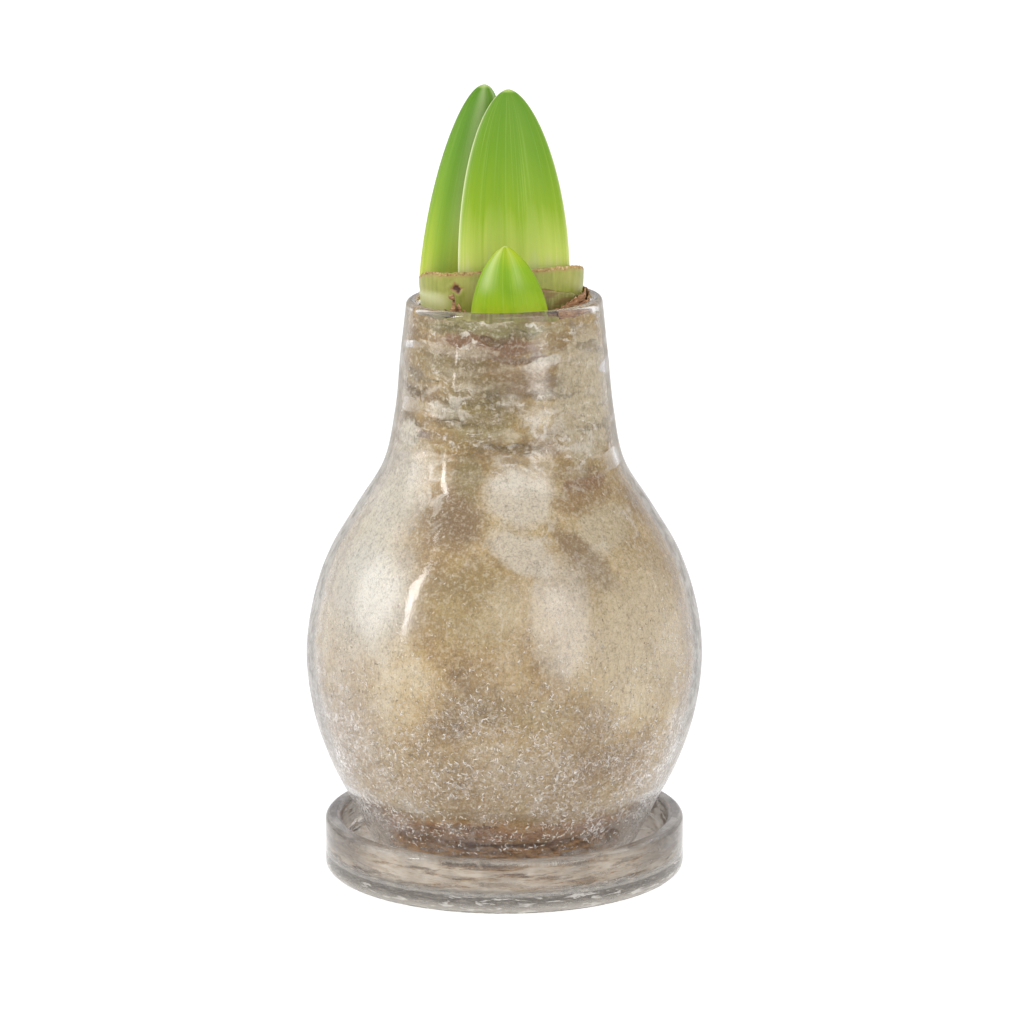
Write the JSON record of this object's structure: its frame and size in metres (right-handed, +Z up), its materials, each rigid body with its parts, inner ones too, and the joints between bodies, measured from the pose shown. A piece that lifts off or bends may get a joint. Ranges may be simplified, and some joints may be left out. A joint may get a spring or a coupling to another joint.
{
  "type": "amaryllis bulb in a glass jar",
  "caption": "Sprouting amaryllis bulb with green shoots, filling a bulb-shaped open glass jar that stands in a round glass saucer.",
  "frame": {"origin": "middle of the saucer's underside, on the surface it stands on", "axes": "+Z up along the jar's axis, -Y the front, where the small shoot stands, +X to the viewer's right"},
  "size_m": [0.1138, 0.1138, 0.2266],
  "materials": {
    "clear_glass": "gloss",
    "bulb_tunic": "satin",
    "dry_roots": "matte",
    "cut_leaf_base": "satin",
    "green_shoot": "satin",
    "papery_scale": "matte"
  },
  "bodies": {
    "root": {"saucer": "clear_glass", "glass_jar": "clear_glass", "bulb": "bulb_tunic", "root_plate": "dry_roots", "neck_collar": "cut_leaf_base", "shoot_main": "green_shoot", "shoot_left": "green_shoot", "shoot_front": "green_shoot", "outer_scale": "cut_leaf_base", "dry_scale_right": "papery_scale", "dry_scale_left": "papery_scale", "front_scale": "cut_leaf_base"}
  },
  "joints": []
}
